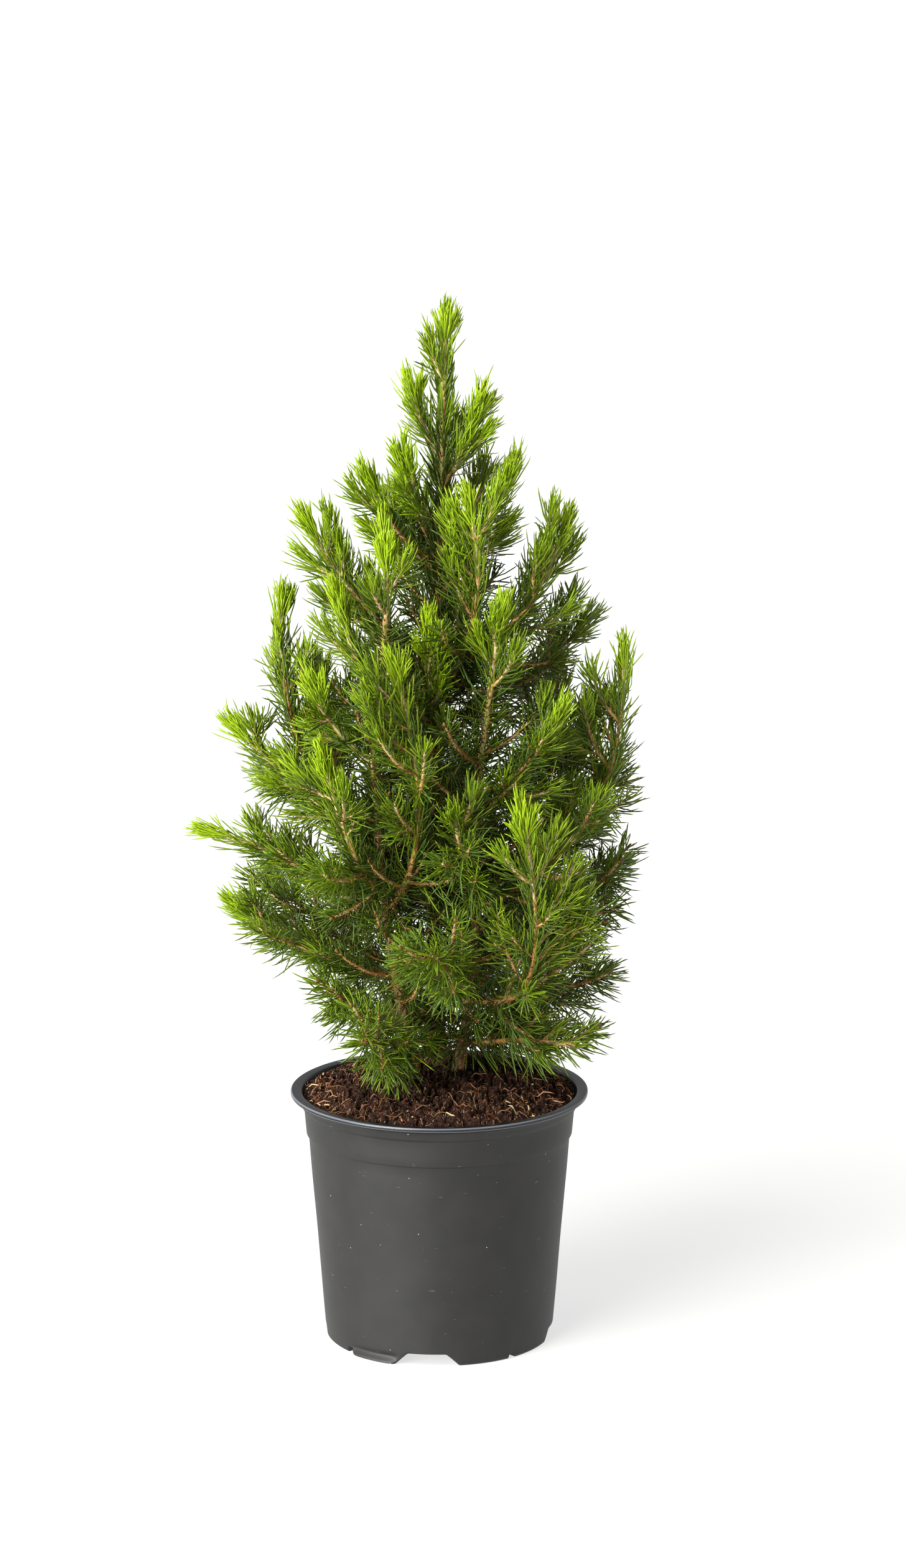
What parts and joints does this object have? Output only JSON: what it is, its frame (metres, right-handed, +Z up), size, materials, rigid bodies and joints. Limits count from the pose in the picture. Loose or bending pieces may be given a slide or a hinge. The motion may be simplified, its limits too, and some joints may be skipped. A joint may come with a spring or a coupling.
{
  "type": "potted dwarf conifer",
  "caption": "Small cone-shaped dwarf spruce growing in peat in a round black nursery pot, with upright bright-tipped needle shoots",
  "frame": {"origin": "centre of the underside of the pot, on the surface it stands on", "axes": "+Z is up, -Y is the front that faces the viewer, +X is to the viewer's right"},
  "size_m": [0.1964, 0.1807, 0.455],
  "materials": {
    "pot_plastic": "satin black moulded plastic, faint scuffs and pale specks",
    "peat_soil": "dark brown crumbly peat with tan fibres",
    "bark": "tan to orange-brown rough bark, greener on young shoots",
    "needles": "waxy needles, dark blue-green when old and bright yellow-green at the new tips"
  },
  "bodies": {
    "root": {"pot": "pot_plastic", "soil": "peat_soil", "trunk": "bark", "stem_left": "bark", "stem_right": "bark", "bough_left_low": "bark", "bough_left_front": "bark", "bough_left_high": "bark", "bough_front": "bark", "bough_fork": "bark", "bough_right_top": "bark", "bough_right_high": "bark", "bough_right_front": "bark", "bough_right_low": "bark", "bough_back_left": "bark", "bough_back_right": "bark", "spray_leader": "needles", "spray_top_left": "needles", "spray_top_right": "needles", "spray_top_back": "needles", "spray_upper_left": "needles", "spray_upper_front_left": "needles", "spray_upper_right": "needles", "spray_upper_back_left": "needles", "spray_upper_back_right": "needles", "spray_front_top": "needles", "spray_right_top": "needles", "spray_left_top": "needles", "spray_left_top_back": "needles", "spray_back_top": "needles", "spray_right_top_back": "needles", "spray_front_left_top": "needles", "spray_stem_left": "needles", "spray_stem_right": "needles", "spray_centre_front": "needles", "spray_left": "needles", "spray_left_out": "needles", "spray_left_inner": "needles", "spray_left_front": "needles", "spray_front": "needles", "spray_front_centre": "needles", "spray_right_inner": "needles", "spray_right": "needles", "spray_right_bright": "needles", "spray_right_side": "needles", "spray_right_out": "needles", "spray_left_low": "needles", "spray_left_under": "needles", "spray_left_foot": "needles", "spray_front_foot": "needles", "spray_front_low": "needles", "spray_right_foot": "needles", "spray_right_skirt": "needles", "spray_back_left": "needles", "spray_back_right": "needles", "spray_back": "needles", "spray_back_mid": "needles", "spray_back_left_low": "needles", "spray_back_right_low": "needles", "spray_back_foot": "needles"}
  },
  "joints": []
}
